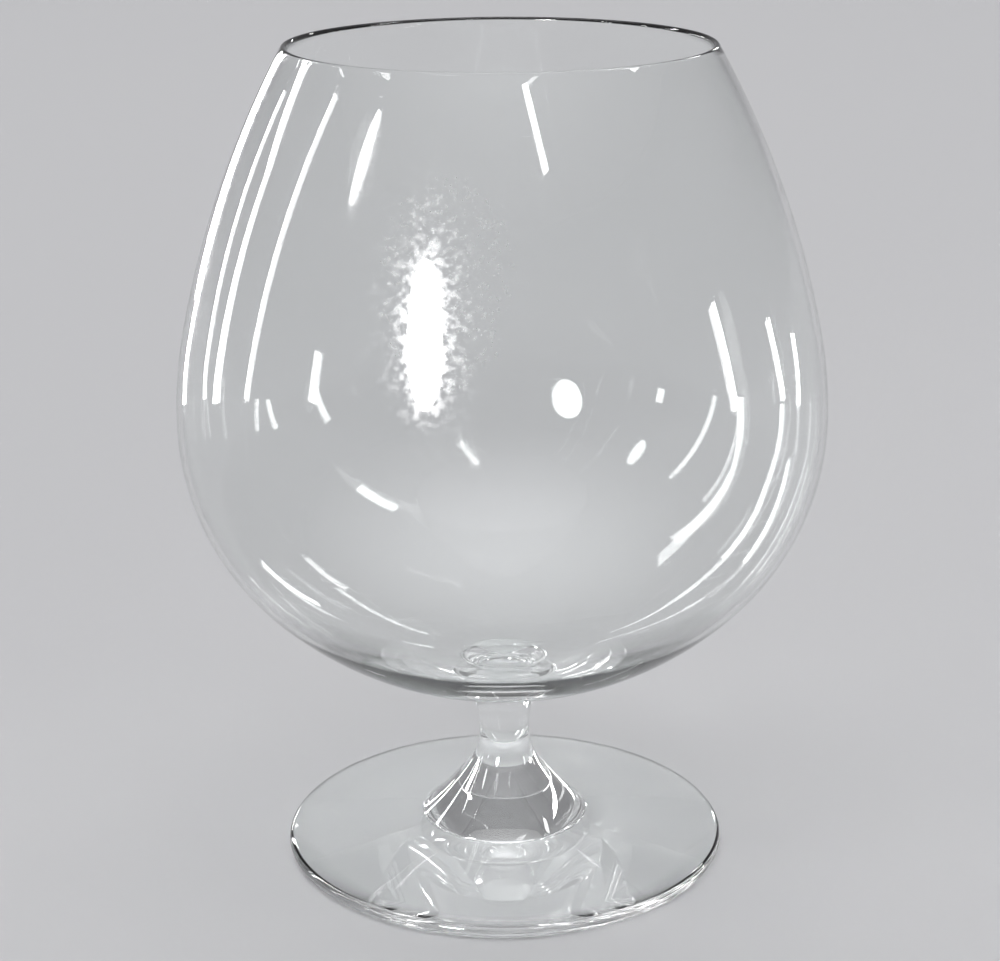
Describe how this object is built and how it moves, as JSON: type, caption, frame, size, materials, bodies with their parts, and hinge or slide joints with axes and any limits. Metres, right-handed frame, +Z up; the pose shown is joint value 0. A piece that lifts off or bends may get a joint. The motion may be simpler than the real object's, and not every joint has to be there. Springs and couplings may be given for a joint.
{
  "type": "brandy snifter",
  "caption": "Clear balloon snifter: a wide thin-walled bowl drawn in at the mouth, on a short waisted stem and a broad round foot.",
  "frame": {"origin": "on the table, under the glass's axis, in the plane of the foot's flat resting ring", "axes": "+Z up the axis from the foot to the mouth; the glass is round, so X and Y are alike"},
  "size_m": [0.1202, 0.1202, 0.155],
  "materials": {
    "clear_glass": "clear, fire-polished, with faint wear"
  },
  "bodies": {
    "root": {"bowl": "clear_glass", "stem": "clear_glass", "foot": "clear_glass"}
  },
  "joints": []
}
